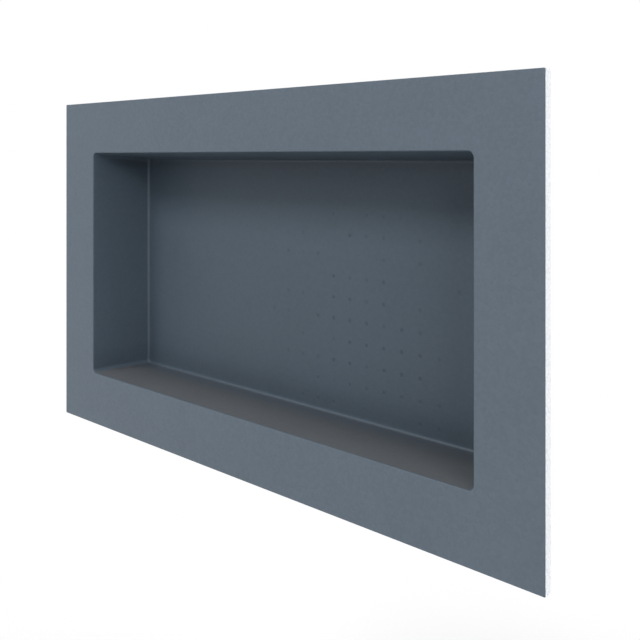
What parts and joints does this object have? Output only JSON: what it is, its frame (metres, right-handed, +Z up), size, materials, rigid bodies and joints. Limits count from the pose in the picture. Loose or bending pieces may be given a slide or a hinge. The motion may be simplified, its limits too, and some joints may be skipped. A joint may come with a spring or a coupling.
{
  "type": "shower niche insert",
  "caption": "Rectangular shower niche insert: a one-piece recessed box with leaning walls, a level floor and a broad flat flange that is tiled over.",
  "frame": {"origin": "centre of the recess's mouth, on the plane of the flange's back face that lies against the wall framing", "axes": "+X to the right seen from the room, +Y into the wall, +Z up"},
  "size_m": [0.7494, 0.0984, 0.4444],
  "materials": {
    "sealed_foam": "satin slate-grey sealing skin with a fine grain, over a white rigid foam body"
  },
  "bodies": {
    "root": {"niche_body": "sealed_foam"}
  },
  "joints": []
}
